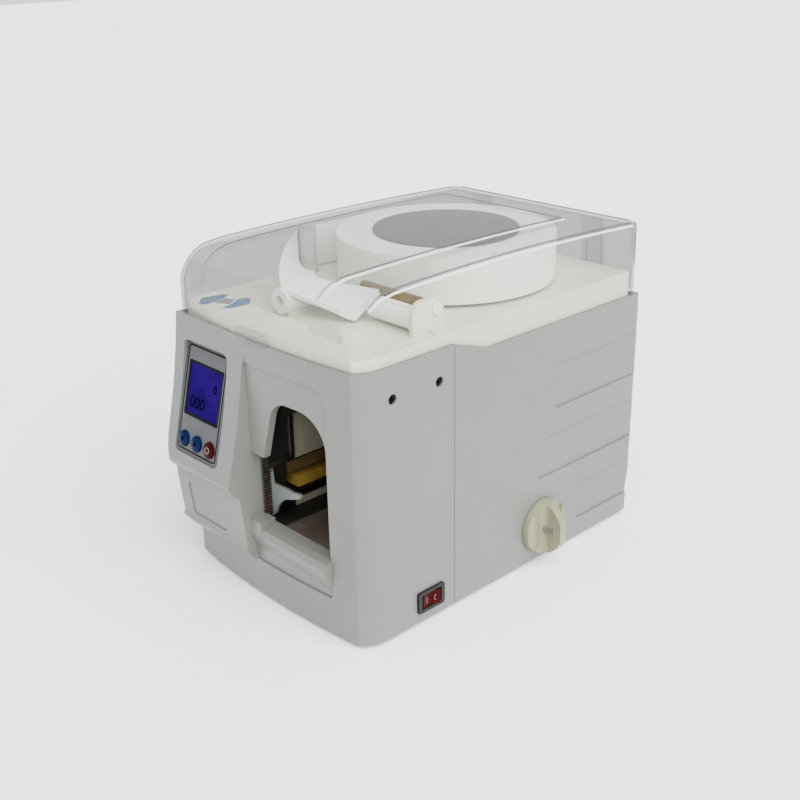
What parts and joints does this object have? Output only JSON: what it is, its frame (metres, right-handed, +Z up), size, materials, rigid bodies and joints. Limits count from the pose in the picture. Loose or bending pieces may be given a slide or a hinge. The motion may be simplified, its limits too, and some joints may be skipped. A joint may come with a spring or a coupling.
{
  "type": "banknote strapping machine",
  "caption": "Desk-top strapping machine with a paper tape roll under a hinged clear cover, an arched front slot for note bundles, a small control panel and a hand knob.",
  "frame": {"origin": "on the table plane, under the middle of the bounding box of the closed machine", "axes": "X to the operator's right, Y to the back, Z up"},
  "size_m": [0.1946, 0.288, 0.227],
  "materials": {
    "housing": "satin moulded plastic, warm grey white",
    "tray_plastic": "satin moulded plastic, cream",
    "clear": "clear moulded plastic",
    "white_plastic": "smooth white plastic",
    "grey_plastic": "grey plastic",
    "black_plastic": "black plastic",
    "label_film": "printed film",
    "screen_blue": "blue display",
    "button_blue": "blue button",
    "button_red": "red button",
    "rocker_red": "red rocker",
    "knob_cream": "cream moulded plastic",
    "board_green": "lacquered circuit board",
    "foot_rubber": "black rubber",
    "feed_rubber": "ground rubber",
    "steel": "bright steel",
    "dark_steel": "dark lacquered sheet",
    "zinc_sheet": "grey sheet steel",
    "screw_black": "blackened steel",
    "brass_metal": "brass",
    "brown_pad": "brown heat resistant pad",
    "gear_plastic": "moulded gear",
    "motor_metal": "painted motor case",
    "paper": "white paper tape"
  },
  "bodies": {
    "machine": {"base_plate": "zinc_sheet", "rubber_feet": "foot_rubber", "front_cover": "housing", "rear_cover": "housing", "side_screws": "screw_black", "top_tray": "tray_plastic", "hinge_brackets": "tray_plastic", "hinge_pins": "steel", "panel_label": "label_film", "lcd_display": "screen_blue", "control_board": "board_green", "rocker_frame": "black_plastic", "power_inlet": "black_plastic", "power_board": "board_green", "transformer": "motor_metal", "spindle": "steel", "guide_post": "grey_plastic", "twist_guide": "white_plastic", "turn_bracket": "tray_plastic", "brass_stay": "brass_metal", "tape_strip": "paper", "feed_frame": "zinc_sheet", "feed_motor": "motor_metal", "slot_liner": "dark_steel", "note_table": "zinc_sheet", "nose_plate": "white_plastic", "head_frame": "zinc_sheet", "left_frame": "zinc_sheet", "right_frame": "zinc_sheet", "head_plates": "dark_steel", "guide_rods": "steel", "lever_pin": "steel", "shaft_bushes": "brass_metal", "gear_motor": "motor_metal", "bundle_sensor": "black_plastic"},
    "lid": {"clear_cover": "clear", "finger_tab": "clear"},
    "roll": {"turntable": "grey_plastic", "paper_roll": "paper", "hub_disc": "grey_plastic"},
    "sleeve": {"guide_sleeve": "grey_plastic"},
    "turner": {"turn_roller": "white_plastic"},
    "feeder": {"feed_roller": "feed_rubber"},
    "pincher": {"pinch_roller": "steel"},
    "key_down": {"button_down": "button_blue"},
    "key_up": {"button_up": "button_blue"},
    "key_reset": {"button_reset": "button_red"},
    "rocker": {"rocker_switch": "rocker_red"},
    "drive": {"main_shaft": "steel", "cams": "steel", "drive_gear": "gear_plastic", "knob": "knob_cream"},
    "pinion": {"motor_pinion": "brass_metal"},
    "press": {"press_block": "brown_pad"},
    "heater": {"heater_bar": "brass_metal"},
    "knife": {"knife_blade": "steel"},
    "crank": {"press_lever": "zinc_sheet"}
  },
  "joints": [
    {"name": "cover_hinge", "type": "hinge", "parent": "machine", "child": "lid", "pos_m": [-0.0098, 0.1338, 0.1755], "axis": [-1, 0, 0], "range_deg": [0, 75]},
    {"name": "roll_spin", "type": "hinge", "parent": "machine", "child": "roll", "pos_m": [-0.0098, 0.0365, 0.2], "axis": [0, 0, 1], "continuous": true},
    {"name": "sleeve_spin", "type": "hinge", "parent": "machine", "child": "sleeve", "pos_m": [-0.0848, -0.023, 0.205], "axis": [0, 0, 1], "continuous": true},
    {"name": "turn_roller_spin", "type": "hinge", "parent": "machine", "child": "turner", "pos_m": [0.0402, -0.06, 0.1968], "axis": [1, 0, 0], "continuous": true},
    {"name": "feed_roller_spin", "type": "hinge", "parent": "machine", "child": "feeder", "pos_m": [0.0402, -0.06095, 0.166], "axis": [1, 0, 0], "continuous": true},
    {"name": "pinch_roller_spin", "type": "hinge", "parent": "machine", "child": "pincher", "pos_m": [0.0402, -0.04695, 0.166], "axis": [1, 0, 0], "continuous": true},
    {"name": "down_press", "type": "slide", "parent": "machine", "child": "key_down", "axis": [0, 0.9703, -0.2419], "range_m": [0, 0.0008], "stiffness_N_per_m": 200, "springref_m": -0.0015},
    {"name": "up_press", "type": "slide", "parent": "machine", "child": "key_up", "axis": [0, 0.9703, -0.2419], "range_m": [0, 0.0008], "stiffness_N_per_m": 200, "springref_m": -0.0015},
    {"name": "reset_press", "type": "slide", "parent": "machine", "child": "key_reset", "axis": [0, 0.9703, -0.2419], "range_m": [0, 0.0008], "stiffness_N_per_m": 200, "springref_m": -0.0015},
    {"name": "rocker_turn", "type": "hinge", "parent": "machine", "child": "rocker", "pos_m": [0.0757, -0.0674, 0.0172], "axis": [0, 0, 1], "range_deg": [0, 18]},
    {"name": "drive_spin", "type": "hinge", "parent": "machine", "child": "drive", "pos_m": [-0.0098, 0.04, 0.028], "axis": [1, 0, 0], "continuous": true},
    {"name": "pinion_spin", "type": "hinge", "parent": "machine", "child": "pinion", "pos_m": [0.0152, 0.07, 0.028], "axis": [1, 0, 0], "continuous": true},
    {"name": "press_slide", "type": "slide", "parent": "machine", "child": "press", "axis": [1, 0, 0], "range_m": [0, 0.004]},
    {"name": "heater_slide", "type": "slide", "parent": "machine", "child": "heater", "axis": [-1, 0, 0], "range_m": [0, 0.005]},
    {"name": "knife_slide", "type": "slide", "parent": "machine", "child": "knife", "axis": [1, 0, 0], "range_m": [0, 0.004]},
    {"name": "press_lever_turn", "type": "hinge", "parent": "machine", "child": "crank", "pos_m": [-0.0468, -0.012, 0.052], "axis": [0, 0, 1], "range_deg": [0, 9.4]}
  ],
  "couplings": [
    {"joint": "pinion_spin", "follows": "drive_spin", "ratio": -1.6667},
    {"joint": "pinch_roller_spin", "follows": "feed_roller_spin", "ratio": -1.4545},
    {"joint": "press_lever_turn", "follows": "press_slide", "rad_per_m": 40.816}
  ]
}
